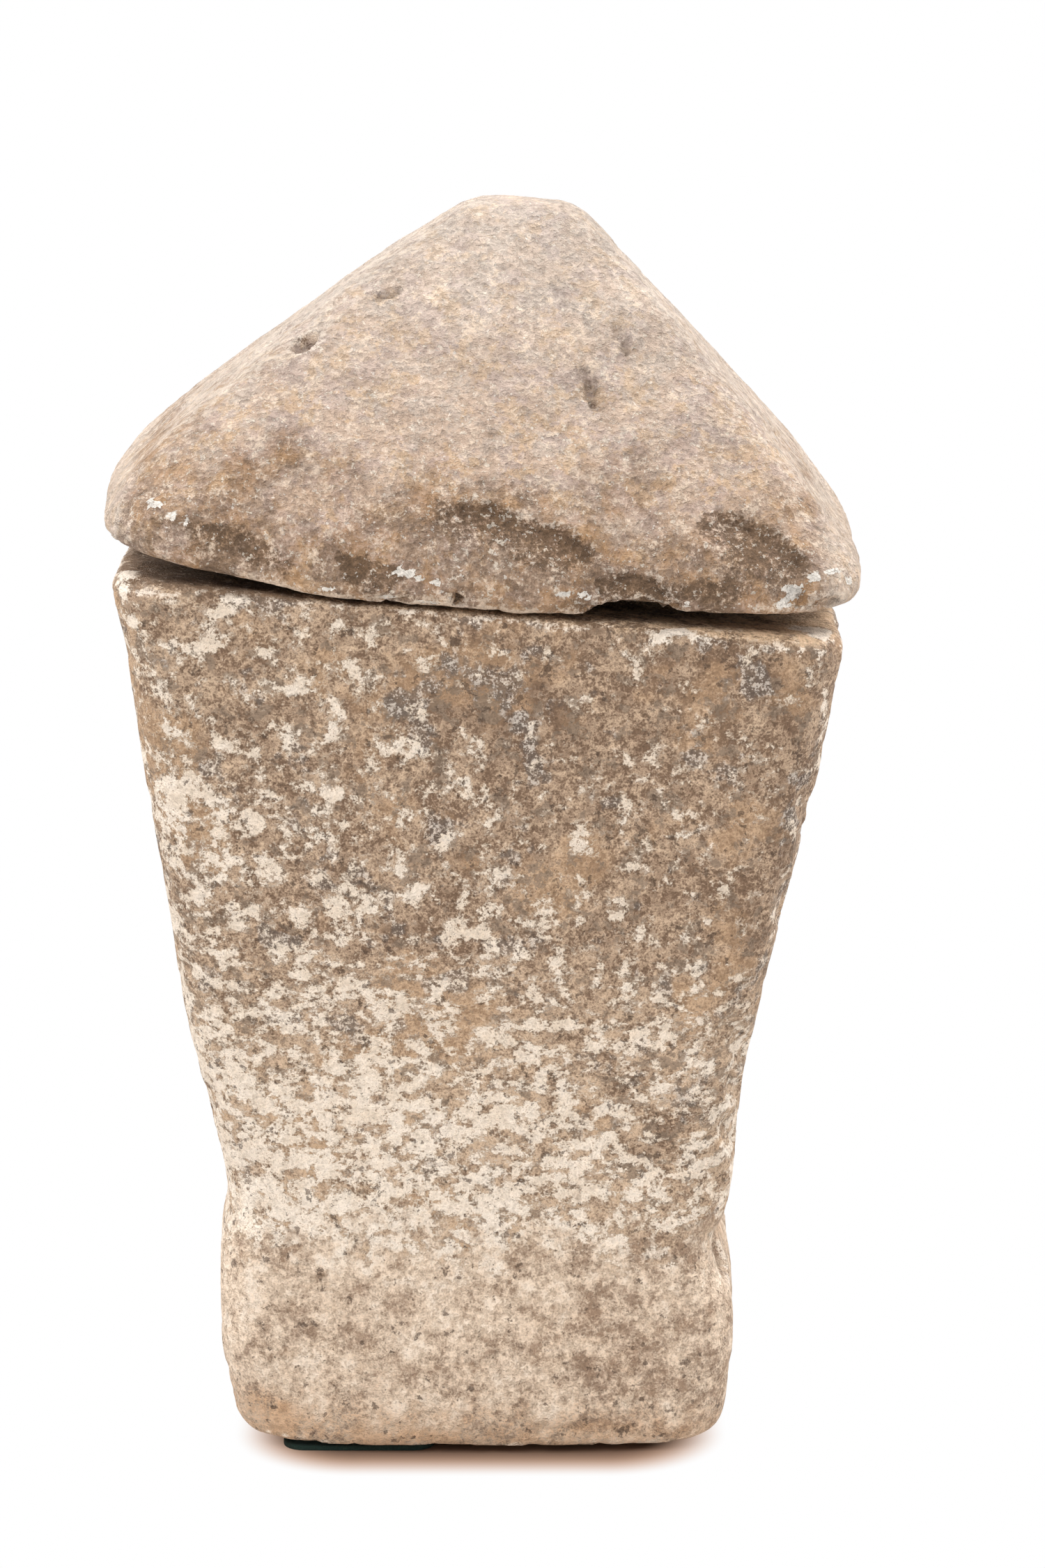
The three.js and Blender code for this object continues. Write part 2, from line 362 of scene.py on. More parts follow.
# %% Carve the lid
LID_SCOOPS = [
    ([(640, 716), (693, 713), (747, 733), (777, 743), (810, 753), (837, 767), (866, 796)], 84, 0.0046),
    ([(606, 738), (650, 730), (690, 740), (730, 770)], 60, 0.0016),
    ([(1020, 724), (1053, 730), (1083, 742), (1107, 752), (1140, 776), (1166, 806)], 80, 0.0040),
    ([(1000, 744), (1033, 741), (1066, 758)], 40, 0.0018),
    ([(846, 826), (866, 819), (913, 815), (940, 825), (957, 850), (966, 868)], 64, 0.0044),
    ([(478, 790), (500, 790), (523, 796), (570, 808), (584, 820)], 40, 0.0026),
    ([(265, 742), (300, 746), (345, 754), (385, 770)], 40, 0.0014),
    ([(345, 788), (385, 788), (425, 808)], 30, 0.0012),
    ([(935, 772), (975, 762), (1010, 776)], 44, 0.0012),
]
LID_CHIPS = [
    (657, 866, 10, 9, 0, 0.0070),
    (905, 878, 70, 14, 0, 0.0042),
    (1188, 868, 22, 8, -20, 0.0030),
    (658, 850, 5, 13, 10, 0.0016),
    (1152, 858, 10, 16, 20, 0.0030),
    (434, 487, 22, 12, -25, 0.0060),
    (446, 481, 10, 8, 0, 0.0040),
    (545, 421, 14, 7, -15, 0.0024),
    (566, 416, 14, 7, -10, 0.0020),
    (838, 532, 12, 16, 30, 0.0022),
    (848, 556, 12, 22, -10, 0.0030),
    (858, 578, 14, 12, 20, 0.0024),
    (884, 474, 9, 16, -30, 0.0018),
    (898, 494, 9, 14, -20, 0.0022),
    (173, 740, 6, 46, 4, 0.0024),
    (184, 700, 7, 50, 12, 0.0012),
    (620, 640, 30, 12, 20, 0.0008),
    (760, 600, 30, 10, 30, 0.0008),
    (560, 864, 26, 7, 0, 0.0014),
]


def lid_depth(point, stand):
    depth = 0.0014 * relief(point, 0.075) + 0.0011 * relief(point, 0.016)
    depth += 0.0007 * relief(point, 0.0065)
    depth += 0.0009 * flaked(point, 0.06, 0.2, 0.34)
    depth += 0.0012 * pitted(point, 0.021, 0.06)
    chip = flaked(point, 0.024, 0.05, 0.4)
    return depth + 0.0018 * chip * ramp(stand, 0.0004, 0.0016)


scooped = lid_skin.scoops(LID_SCOOPS, crisp=13, rag=7)
chipped = lid_skin.ovals(LID_CHIPS, rag=0.35, soft=0.3)
carve(lid, lid_depth, [scoop + chip for scoop, chip in zip(scooped, chipped)])

# %% [markdown]
# ## Notes for the painter
#
# The paint needs to know what the carving knew. Numbers are stored on the points as attributes:
# wear on arrises, which also carries painted light on lit edges, dirt and painted shade in
# hollows, the ledge of the rim and how far the lid covers it, for painted shade under the lid,
# the thin hem under the lid's edge, and zones that are rich in lime, ochre or crust, or dark with
# stains and the painted shade under the scoops. The zones only lean the finer patterns of the
# shader one way, so their own edges never show.

# %% Find the stones again, as they are after carving
box_skin = Skin(box)
lid_skin = Skin(lid)


def note(piece, name, values):
    """Keeps one number per point, for the shader."""
    attribute = piece.data.attributes.new(name, "FLOAT", "POINT")
    attribute.data.foreach_set("value", values)
    print(piece.name, name, "from", round(min(values), 2), "to", round(max(values), 2))


def note_wear(piece, edge):
    """Wear and painted light where a point stands proud by edge metres, dirt and painted shade where it
    lies as deep.
    """
    stands = proud(piece)
    note(piece, "edge_wear_and_light", [ramp(s, 0.25 * edge, edge) for s in stands])
    note(piece, "hollow_dirt_and_shade", [ramp(-s, 0.15 * edge, edge) for s in stands])


note_wear(box, 0.0025)
note_wear(lid, 0.0014)

# %% Note the zones of the box
BOX_LIME = [
    (250, 1150, 90, 60, 0, 1.2),
    (420, 1205, 110, 40, 10, 0.7),
    (560, 1030, 50, 70, -20, 0.4),
    (640, 1000, 40, 60, 0, 0.5),
    (540, 1330, 90, 60, 0, 0.2),
    (980, 1195, 50, 24, -10, 1.1),
    (960, 1370, 40, 36, 0, 0.8),
    (183, 824, 22, 10, 0, 3.0),
    (176, 848, 16, 20, 0, 2.4),
    (190, 900, 16, 40, 0, 1.2),
    (240, 1130, 50, 34, 0, 0.9),
    (330, 1168, 70, 20, 4, 0.9),
    (300, 1230, 130, 90, 0, 0.8),
    (480, 1180, 60, 30, 0, 0.5),
    (650, 1620, 150, 60, 0, 0.5),
    (330, 872, 60, 20, 8, 0.7),
    (500, 880, 90, 20, 4, 0.5),
    # The next four marks lay bright lime along the rim's front arris at the right, and the three after
    # them down the right corner; this also paints the highlight of those lit edges.
    (975, 908, 50, 9, 4, 2.6),
    (940, 918, 60, 20, 0, 1.0),
    (1178, 908, 26, 22, 0, 3.0),
    (1150, 902, 30, 6, 4, 2.6),
    (1160, 985, 8, 40, 0, 2.2),
    (1184, 1000, 9, 80, 0, 2.4),
    (1176, 1090, 9, 60, 0, 2.2),
    (1110, 1312, 22, 12, -20, 1.4),
    (345, 1860, 30, 110, 0, 0.9),
    (470, 1810, 26, 22, 0, 1.2),
    (690, 1880, 60, 50, 0, 1.0),
    (620, 1900, 60, 40, 0, 0.5),
    (470, 1790, 34, 26, 0, 1.2),
    (640, 1900, 120, 60, 0, 0.6),
    (900, 2068, 130, 12, 0, 1.6),
    (470, 2050, 24, 14, 0, 1.6),
    (655, 2055, 20, 8, 0, 1.8),
    (1030, 1900, 12, 100, 0, 1.0),
]
BOX_DARK = [
    (965, 1245, 60, 36, -15, 1.2),
    (1065, 1340, 40, 60, 0, 0.9),
    (890, 1560, 70, 60, -20, 1.3),
    (945, 1645, 70, 60, -20, 1.5),
    (1000, 1560, 50, 70, 0, 0.6),
    (845, 1900, 36, 30, 30, 1.6),
    (785, 1905, 36, 40, -30, 1.2),
    (740, 1880, 24, 18, 0, 1.0),
    (820, 1950, 30, 20, 0, 1.0),
    (1060, 1000, 160, 110, 0, 0.5),
    (690, 1005, 180, 110, 0, 1.7),
    (565, 1340, 30, 40, 0, 1.2),
    (463, 1828, 12, 11, 0, 3.0),
    (503, 1794, 5, 5, 0, 2.4),
    (540, 1832, 6, 5, 30, 2.4),
    (650, 1802, 9, 6, 0, 2.2),
    (705, 1940, 9, 8, 0, 2.2),
    (516, 1848, 14, 12, 30, 1.2),
    (412, 1788, 46, 44, 0, 1.7),
    (365, 1905, 30, 34, 0, 1.2),
    (430, 1905, 44, 30, 20, 1.5),
    (494, 1905, 22, 16, 0, 1.5),
    (945, 1795, 56, 60, -30, 1.5),
    (940, 1970, 140, 80, 0, 1.3),
    (870, 1990, 40, 24, 0, 0.8),
    (600, 1965, 60, 30, 0, 0.7),
    (870, 2045, 100, 18, 0, 1.4),
    (960, 2050, 50, 16, -10, 1.2),
    (1025, 1905, 12, 24, 0, 1.6),
    (390, 2010, 50, 24, 30, 1.0),
    (520, 1700, 60, 24, 10, 0.8),
    (1090, 970, 60, 40, 0, 0.6),
]
BOX_OCHRE = [
    (400, 2040, 80, 44, 30, 1.7),
    (500, 2062, 90, 16, 0, 1.0),
    (1030, 1760, 34, 70, 0, 1.0),
    (620, 2064, 130, 16, 0, 1.5),
    (790, 1150, 120, 130, 0, 0.7),
    (700, 1460, 120, 50, 0, 0.4),
    (540, 1800, 60, 24, 0, 0.8),
    (1010, 1740, 24, 60, 0, 0.8),
]


LEDGE_LEVEL = 0.44  # metres: only the rim and the lip lie higher
FACES_UP = (0.55, 0.9)  # upward part of a normal, from a slope to the flat ledge


def note_zones(piece, skin, name, marks):
    """Keeps how strongly each point lies in the marked zones, which fade out all the way."""
    note(piece, name, skin.ovals(marks, rag=0.4, soft=1.0))


note_zones(box, box_skin, "lime_zone", BOX_LIME)
note_zones(box, box_skin, "dark_zone", BOX_DARK)
note_zones(box, box_skin, "ochre_zone", BOX_OCHRE)
tops = [v.vector.z for v in box.data.vertex_normals]
on_rim = [v.co.z > LEDGE_LEVEL for v in box.data.vertices]
note(box, "ledge", [ramp(top, *FACES_UP) * high for top, high in zip(tops, on_rim)])

# %% Note where the lid covers the ledge
# The share found with these rays sets the painted shade on the ledge where the lid hangs over it.
RAISED = [
    (0, -0.7, 0.7),
    (0, -0.35, 0.94),
    (0, 0, 1),
    (0, 0.35, 0.94),
    (0.5, -0.3, 0.8),
    (-0.5, -0.3, 0.8),
]
COVER_REACH = 0.03
COVER_START = 0.001  # off the stone, so that a ray doesn't meet the stone that it leaves
STEEPEST = 0.3  # upward part of a normal, below which a point is on a wall


def covered(point, normal):
    """The share of the raised directions in which the lid is near."""
    if point.z < LEDGE_LEVEL or normal.z < STEEPEST:
        return 0.0
    start = point + COVER_START * normal
    hits = [lid_skin.stone.ray_cast(start, Vector(ray), COVER_REACH)[0] for ray in RAISED]
    return sum(hit is not None for hit in hits) / len(hits)


ups = [v.vector.copy() for v in box.data.vertex_normals]
note(box, "cover", [covered(v.co, up) for v, up in zip(box.data.vertices, ups)])

# %% Note the zones of the lid
# These lines give the crisp upper edges of the scoops. Under each one the lid is painted dark brown as
# painted shade, darkest at the edge and running out downward.
MIDDLE_SCOOP_SHADE = [
    (606, 734),
    (640, 718),
    (693, 715),
    (747, 735),
    (777, 745),
    (810, 756),
    (837, 771),
    (872, 802),
]
RIGHT_SCOOP_SHADE = [
    (985, 748),
    (1020, 728),
    (1053, 733),
    (1083, 744),
    (1107, 755),
    (1140, 780),
    (1176, 816),
]
LID_SCOOP_SHADE = [
    (MIDDLE_SCOOP_SHADE, 100, 1.5),
    (RIGHT_SCOOP_SHADE, 100, 1.3),
    ([(844, 829), (866, 821), (913, 818), (940, 829), (957, 853), (970, 872)], 70, 1.9),
    ([(474, 790), (500, 791), (523, 797), (570, 809), (586, 822)], 70, 2.0),
    ([(255, 742), (300, 748), (345, 757), (400, 784)], 60, 1.3),
    ([(345, 784), (385, 784), (430, 804)], 50, 1.2),
    ([(930, 838), (1000, 828), (1090, 834)], 50, 0.9),
]
# These dark marks share one zone with the scoops' painted shade. Those by the right scoop and along the
# lower edge widen that painted shade; the rest are dark stains.
LID_DARK = [
    (1090, 800, 90, 56, 20, 1.0),
    (1010, 850, 110, 26, 0, 0.9),
    (507, 818, 27, 33, 0, 1.7),
    (380, 790, 14, 16, 0, 1.2),
    (328, 757, 50, 11, 8, 1.1),
    (632, 720, 22, 14, 0, 0.9),
    (790, 800, 90, 40, 0, 0.5),
    (848, 552, 16, 40, -15, 0.65),
    (436, 488, 22, 12, -25, 2.0),
    (891, 485, 14, 30, -20, 0.5),
    (550, 420, 30, 10, -10, 0.6),
    (700, 850, 60, 20, 0, 0.5),
    (300, 800, 120, 30, 15, 0.5),
    (174, 730, 5, 50, 4, 0.6),
]
LID_LIME = [
    (219, 722, 15, 8, 25, 1.1),
    (247, 740, 9, 9, 0, 1.0),
    (267, 750, 5, 7, 0, 0.9),
    (581, 822, 16, 9, 20, 1.2),
    (600, 828, 4, 5, 0, 1.3),
    (610, 833, 4, 4, 0, 1.3),
    (627, 838, 10, 6, 0, 0.9),
    (835, 854, 13, 7, 5, 1.3),
    (812, 854, 9, 5, -5, 1.1),
    (803, 852, 5, 4, -5, 1.0),
    (882, 838, 3, 4, -5, 1.0),
    (1140, 848, 15, 13, -25, 1.3),
    (1124, 866, 10, 11, 0, 1.2),
    (1168, 828, 12, 9, 0, 1.2),
    (1194, 820, 12, 6, 0, 1.0),
    (1218, 834, 7, 9, 0, 0.9),
    (984, 868, 8, 4, 0, 0.9),
    (470, 845, 14, 4, 10, 0.9),
    (556, 856, 20, 4, -4, 0.9),
    (612, 864, 24, 4, 4, 1.0),
]
LID_OCHRE = [
    (530, 560, 100, 60, 0, 0.8),
    (1055, 660, 60, 60, 0, 1.4),
    (930, 790, 60, 40, 0, 0.8),
    (560, 700, 90, 50, 0, 0.6),
    (740, 640, 120, 60, 0, 0.4),
    (860, 420, 60, 60, 0, 0.6),
    (300, 620, 120, 50, 0, 0.5),
]
LID_CRUST = [
    (704, 766, 22, 46, 0, 1.0),
    (672, 724, 26, 14, 0, 0.8),
    (726, 800, 34, 24, 0, 0.7),
    (690, 832, 26, 18, 0, 0.7),
    (1200, 822, 30, 26, 0, 0.8),
    (1160, 700, 20, 60, 20, 0.5),
    (560, 620, 120, 60, 0, 0.25),
    (840, 640, 120, 70, 0, 0.3),
    (880, 540, 60, 60, 0, 0.5),
]
FACES_DOWN = (0.2, 0.7)  # downward part of a normal, from the edge to the underside
HEM_LEVELS = (0.012, 0.004)  # heights over the rim between which the hem begins

# The lid's dark zone: painted shade under the scoops' crisp upper edges, plus the dark marks.
scoop_shaded = lid_skin.scoops(LID_SCOOP_SHADE, crisp=10, rag=9)
dark = lid_skin.ovals(LID_DARK, rag=0.4, soft=1.0)
note(lid, "dark_zone", [a + b for a, b in zip(scoop_shaded, dark)])
note_zones(lid, lid_skin, "ochre_zone", LID_OCHRE)
note_zones(lid, lid_skin, "crust_zone", LID_CRUST)
note(lid, "chip_zone", lid_skin.ovals(LID_LIME, rag=0.5, soft=0.5))
undersides = [ramp(-v.vector.z, *FACES_DOWN) for v in lid.data.vertex_normals]
edge_shares = [ramp(above_rim(v.co), *HEM_LEVELS) for v in lid.data.vertices]
note(lid, "hem", [under * share for under, share in zip(undersides, edge_shares)])

# %% [markdown]
# ## Shader sums
#
# A stone's paint is a long sum of masks. Written as nodes it would fill pages, so a small class
# wraps a socket and gives it Python's operators. Each operation adds the Math or Vector Math
# node that it stands for.
#
# Blender's noise keeps close to 0.5, and closer the more layers it has. Here it is stretched, so
# that 0 is its middle and 1 is one standard deviation. A mask that starts at 1 then covers about
# a sixth of the stone, whatever the noise, and a lean of 1 makes that a half.


# %% Wrap a socket
class Signal:
    """A shader socket that can stand in a sum."""

    def __init__(self, bench, socket):
        self.bench = bench
        self.socket = socket

    def join(self, operation, other, turned=False):
        pair = [other, self] if turned else [self, other]
        kind = "ShaderNodeVectorMath" if self.socket.type == "VECTOR" else "ShaderNodeMath"
        return self.bench.node(kind, {"operation": operation}, dict(enumerate(pair)))

    def __add__(self, other):
        return self.join("ADD", other)

    def __sub__(self, other):
        return self.join("SUBTRACT", other)

    def __rsub__(self, other):
        return self.join("SUBTRACT", other, turned=True)

    def __mul__(self, other):
        return self.join("MULTIPLY", other)

    def higher(self, other):
        return self.join("MAXIMUM", other)

    def lower(self, other):
        return self.join("MINIMUM", other)

    __radd__ = __add__
    __rmul__ = __mul__


ONE_LAYER_SPREAD = 0.125  # standard deviation of Blender's noise without detail, as measured


class Bench:
    """A material's node tree, with the few tools that stone needs."""

    def __init__(self, name):
        self.material = bpy.data.materials.new(name)
        self.material.use_nodes = True
        self.tree = self.material.node_tree
        self.tree.nodes.clear()

    def node(self, kind, settings=None, sockets=None, out=0):
        """Any node: its settings first, then the values or links of its sockets."""
        made = self.tree.nodes.new(kind)
        for key, value in (settings or {}).items():
            setattr(made, key, value)
        for key, value in (sockets or {}).items():
            socket = made.inputs[key]
            if isinstance(value, Signal):
                self.tree.links.new(value.socket, socket)
            elif socket.type == "VECTOR" and isinstance(value, (int, float)):
                socket.default_value = (value, value, value)
            elif socket.type == "RGBA":
                socket.default_value = (*value, 1)
            else:
                socket.default_value = value
        return Signal(self, made.outputs[out])

    def place(self):
        """The point being shaded, in the piece's own metres."""
        return self.node("ShaderNodeTexCoord", out=3)

    def along(self, place, axis):
        """One coordinate of a place."""
        return self.node("ShaderNodeSeparateXYZ", None, {0: place}, out=axis)

    def noted(self, name):
        """A number that was kept on the points."""
        return self.node("ShaderNodeAttribute", {"attribute_name": name}, out=2)

    def clouds(self, place, size, layers=4, rough=0.6, shift=0.0):
        """Noise of that cell size in metres: 0 in the middle, 1 at one standard deviation."""
        heights = [rough**i for i in range(layers + 1)]
        spread = ONE_LAYER_SPREAD * math.hypot(*heights) / sum(heights)
        sockets = {"Vector": place + (shift, 0, 0), "Scale": 1 / size}
        sockets.update({"Detail": layers, "Roughness": rough})
        return (self.node("ShaderNodeTexNoise", None, sockets) - 0.5) * (1 / spread)

    def step(self, value, low, high):
        """0 at low, 1 at high, and smooth between them."""
        settings = {"interpolation_type": "SMOOTHSTEP"}
        sockets = {0: value, 1: low, 2: high, 3: 0.0, 4: 1.0}
        return self.node("ShaderNodeMapRange", settings, sockets)

    def coat(self, under, over, mask):
        """One colour laid over another where the mask is 1."""
        return self.node("ShaderNodeMix", {"data_type": "RGBA"}, {0: mask, 6: under, 7: over}, out=2)

    def shade(self, colour, amount):
        """A colour made darker or lighter by a number around 1."""
        return self.node("ShaderNodeVectorMath", {"operation": "SCALE"}, {0: colour, "Scale": amount})

    def finish(self, colour, roughness, height, distance):
        """The surface shader. Distance is what a height of 1 stands for, in metres."""
        bump = self.node("ShaderNodeBump", None, {"Height": height, "Distance": distance})
        sockets = {"Base Color": colour, "Roughness": roughness, "Normal": bump}
        surface = self.node("ShaderNodeBsdfPrincipled", None, sockets)
        output = self.tree.nodes.new("ShaderNodeOutputMaterial")
        self.tree.links.new(surface.socket, output.inputs["Surface"])
        print(self.material.name, "has", len(self.tree.nodes), "nodes")
        return self.material


# %% [markdown]
# ## Limestone of the box
#
# Seen close, the box is tan stone stippled with dark brown crumbs less than a millimetre wide.
# Grey-brown patches with crisp edges and salt-and-pepper clouds of lichen lie on it, ochre earth
# stains it, and ragged flakes of pale lime cover more of it the lower and the further left one
# looks. A flake often has a thin dark line along its edge.
#
# The foot is smoother: a creamy coat with soft brown clouds lies over stone and lime alike, and
# ochre earth stains it near the floor. The ledge of the rim is mottled and flecked with lime; it
# is painted a shaded brown at the left, under the lid's overhang, turning to a lit tan towards
# the right, and painted shade darkens it where the lid covers it.

# %% Colours of the box
TAN = (0.62, 0.45, 0.31)
BROWN = (0.20, 0.119, 0.07)
OCHRE = (0.53, 0.335, 0.19)
CRUMB = (0.125, 0.075, 0.045)
STAIN = (0.215, 0.155, 0.108)
LICHEN_DARK = (0.125, 0.105, 0.092)
LICHEN_SALT = (0.66, 0.60, 0.54)
LIME = (0.765, 0.62, 0.475)
LIME_BRIGHT = (0.90, 0.785, 0.665)
UMBER = (0.09, 0.052, 0.031)
FOOT_CREAM = (0.735, 0.572, 0.43)
FOOT_GREY = (0.345, 0.228, 0.15)
FOOT_EARTH = (0.585, 0.355, 0.20)
LEDGE_SHADED_BROWN = (0.22, 0.137, 0.08)
LEDGE_LIT_TAN = (0.77, 0.545, 0.35)

# %% Heights on the box, in metres
LIME_LEVELS = (0.34, 0.2)  # the stone pales between these two
LIME_RISE = (0.31, 0.2)  # and the lime grows thick
FOOT_LEVELS = (0.148, 0.108)  # the coat of the foot begins between these two
EARTH_LEVELS = (0.04, 0.014)  # and its band of earth
WAIST_LEVEL = 0.3  # below it the lime's flakes are flatter
print("the foot's coat begins", FOOT_LEVELS[0], "m above the floor")


# %% Paint the box
def box_limestone():
    bench = Bench("box_limestone")
    place = bench.place()
    x, y, z = (bench.along(place, axis) for axis in range(3))
    lime_zone, dark_zone = bench.noted("lime_zone"), bench.noted("dark_zone")
    ochre_zone, ledge = bench.noted("ochre_zone"), bench.noted("ledge")
    edge_wear_and_light, hollow_dirt_and_shade = bench.noted("edge_wear_and_light"), bench.noted("hollow_dirt_and_shade")
    squashed = z * 1.1 + z.lower(WAIST_LEVEL) * 0.3
    lying = bench.node("ShaderNodeCombineXYZ", None, {0: x, 1: y, 2: squashed})

    mottle = bench.clouds(place, 0.016, 5, 0.65)
    patch = bench.clouds(place, 0.009, 4, 0.65, 9.1)
    fine = bench.clouds(place, 0.0034, 3, 0.65)
    grain = bench.clouds(place, 0.0012, 2, 0.6)
    stipple = fine * 0.75 + grain * 0.65

    lower = bench.step(z + mottle * 0.008, *LIME_LEVELS)
    tone = stipple * 0.65 + mottle * 0.4 + patch * 0.2 + lower * 1.1 - dark_zone * 0.7 - x * 1.2
    stone = bench.coat(BROWN, TAN, bench.step(tone, -1.6, 2.1))
    earth = bench.step(bench.clouds(place, 0.06, 4, 0.6, 7.7) + ochre_zone, 0.3, 1.7)
    stone = bench.coat(stone, OCHRE, earth * 0.5)
    crumbs = bench.step(stipple * 0.75 + patch * 0.6 - lower * 0.2 + dark_zone * 0.25, 0.95, 2.1)
    stone = bench.coat(stone, CRUMB, crumbs * (0.66 - lower * 0.12))

    stain_field = bench.clouds(lying, 0.012, 5, 0.64, 3.1) + dark_zone * 0.7 + stipple * 0.25
    stain = bench.step(stain_field - lower * 0.1, 1.05, 1.4)
    stone = bench.coat(stone, STAIN, stain * 0.7)
    lichen = bench.step(bench.clouds(place, 0.03, 4, 0.6, 5.3) + dark_zone * 0.9, 1.2, 2.1)
    salt = bench.step(stipple, -0.1, 1.2)
    stone = bench.coat(stone, bench.coat(LICHEN_DARK, LICHEN_SALT, salt), lichen * 0.55)

    lean = 1.3 - z * 3.1 - x * 3.2 + bench.step(z, *LIME_RISE) * 0.75
    lean = lean + lime_zone - dark_zone * 0.7 - ochre_zone * 0.5
    flake_field = bench.clouds(lying, 0.0125, 5, 0.68) + lean
    film = bench.step(flake_field + stipple * 0.4, 0.3, 1.9)
    flakes = bench.step(flake_field + stipple * 0.3, 1.35, 1.6)
    holes = bench.step(stipple * 0.8 + patch * 0.4 - lean * 0.15, 1.0, 1.9)
    lime = flakes.higher(film * 0.75) * (1 - holes * (0.75 - lower * 0.15))
    bright = bench.step(mottle * 0.5 + patch * 0.3 + stipple * 0.25 + lean * 0.4, -0.9, 1.8)
    lime_colour = bench.coat(LIME, LIME_BRIGHT, bright * 0.65 + flakes * 0.35)
    stone = bench.coat(stone, lime_colour, lime * 0.92)
    # A thin dark line along the edges of the flakes.
    flake_edge = bench.step(flake_field + stipple * 0.25, 0.8, 1.25) * (1 - flakes)
    stone = bench.coat(stone, CRUMB, flake_edge * bench.step(stipple + patch, 0.2, 1.6) * 0.35)

    foot = bench.step(z + mottle * 0.009 + patch * 0.004, *FOOT_LEVELS)
    foot_tone = bench.clouds(place, 0.022, 6, 0.72, 4.9) * 0.5 + mottle * 0.42 + patch * 0.4
    foot_tone = foot_tone + stipple * 0.42 + lime_zone * 0.9 - dark_zone * 1.2 - x * 2
    creamy = bench.coat(FOOT_GREY, FOOT_CREAM, bench.step(foot_tone, -2.6, 1.0))
    creamy = bench.coat(creamy, LIME_BRIGHT, bench.step(foot_tone, 0.5, 2.2) * 0.5)
    ochre_foot = bench.step(ochre_zone + mottle * 0.25 + stipple * 0.15, 0.3, 1.6)
    creamy = bench.coat(creamy, FOOT_EARTH, ochre_foot * 0.5)
    stone = bench.coat(stone, creamy, foot * 0.92)
    earthy = bench.step(z + mottle * 0.005 + x * 0.05 - ochre_zone * 0.01, *EARTH_LEVELS)
    stone = bench.coat(stone, FOOT_EARTH, earthy * bench.step(stipple + mottle, -2.6, 0.8) * 0.6)

    spots = bench.step(bench.clouds(place, 0.007, 4, 0.65, 12.3) + dark_zone * 0.4, 1.9, 2.5)
    stone = bench.coat(stone, UMBER, spots * 0.7)
    # Worn arrises paler; this also paints the highlight of lit edges.
    worn_and_lit_edge = bench.step(edge_wear_and_light * (1.1 + stipple * 0.35) + lean * 0.05, 0.3, 0.75)
    stone = bench.coat(stone, LIME_BRIGHT, worn_and_lit_edge * 0.7)
    # Darker in hollows: dirt, and painted shade.
    stone = bench.coat(stone, UMBER, bench.step(hollow_dirt_and_shade + stipple * 0.12, 0.25, 1.0) * 0.4)
    # Painted light and shade on the ledge: a shaded brown at the left, under the lid's overhang, turning
    # to a lit tan towards the right, with flecks of lime.
    ledge_lit = bench.step(x * 9 + mottle * 0.6 + stipple * 0.5, -0.8, 2.0)
    ledge_lit_and_shaded = bench.coat(LEDGE_SHADED_BROWN, LEDGE_LIT_TAN, ledge_lit)
    ledge_lit_and_shaded = bench.coat(ledge_lit_and_shaded, LIME, bench.step(patch * 0.8 + stipple * 0.5, 1.2, 2.0) * 0.6)
    ledge_lit_and_shaded = bench.coat(ledge_lit_and_shaded, LIME_BRIGHT, bench.step(lime_zone + stipple * 0.3, 0.5, 1.1))
    stone = bench.coat(stone, ledge_lit_and_shaded, ledge * 0.85)
    # Painted shade on the ledge where the lid covers it.
    painted_lid_shade = bench.step(bench.noted("cover") + stipple * 0.04, 0.75, 1.0)
    stone = bench.coat(stone, UMBER, painted_lid_shade * (0.22 - mottle * 0.05))
    stone = bench.shade(stone, 1.0 + stipple * 0.07)

    height_map = lime * 0.34 + mottle * 0.12 + stipple * 0.2 - spots * 0.4 - crumbs * 0.2
    roughness = 0.84 - lime * 0.12 - edge_wear_and_light * 0.22
    return bench.finish(stone, roughness, height_map, distance=0.001)


# %% [markdown]
# ## Limestone of the lid
#
# The lid is finer and softer: a pinkish tan that pales towards the peak, with clouds of ash,
# mauve and rust, faint rusty drips and short slanting flecks. The flanks and the ends are painted
# paler, as painted light from the sides. Its grain is more relief than colour, and its pits are
# painted darker, as painted shade. Golden-brown earth and painted shade darken the lower edge. The
# scoops are dark brown with painted shade under their crisp upper edges, stippled at their edges.
# White chips show where the edge was knocked, and a thin pale hem runs along the worn edge where
# there is no painted scoop shade.

# %% Colours of the lid
ROSE = (0.545, 0.392, 0.29)
FLECK_PALE = (0.84, 0.72, 0.605)
FLECK_DARK = (0.29, 0.18, 0.115)
FLANK_LIGHT = (0.70, 0.60, 0.51)
ASH = (0.49, 0.395, 0.325)
RUST = (0.59, 0.39, 0.225)
MAUVE = (0.50, 0.37, 0.315)
EARTH = (0.25, 0.15, 0.086)
GOLD = (0.43, 0.232, 0.097)
# the dark brown of the painted shade in the scoops and on the lower edge
SCOOP_SHADE = (0.155, 0.089, 0.046)
CRUST = (0.80, 0.69, 0.57)
CHIP = (0.87, 0.80, 0.72)
PEAK_PALE = (0.66, 0.61, 0.56)
HEM = (0.70, 0.55, 0.42)

# %% Planes and places on the lid
LEFT_FLANK = (1.35, 0.944)  # the left flank lies where z * 1.35 - x is 0.944
RIGHT_FLANK = (0.868, 0.653)  # the right flank lies where z * 0.868 + x is 0.653
LEFT_END = 0.186  # how far left of the axis the lid's end begins
RIGHT_END = 0.182
PEAK_RISE = (0.05, 0.2)  # heights over the rim between which the stone pales
EDGE_RISE = (0.085, 0.035)  # and between which the earth of the edge begins


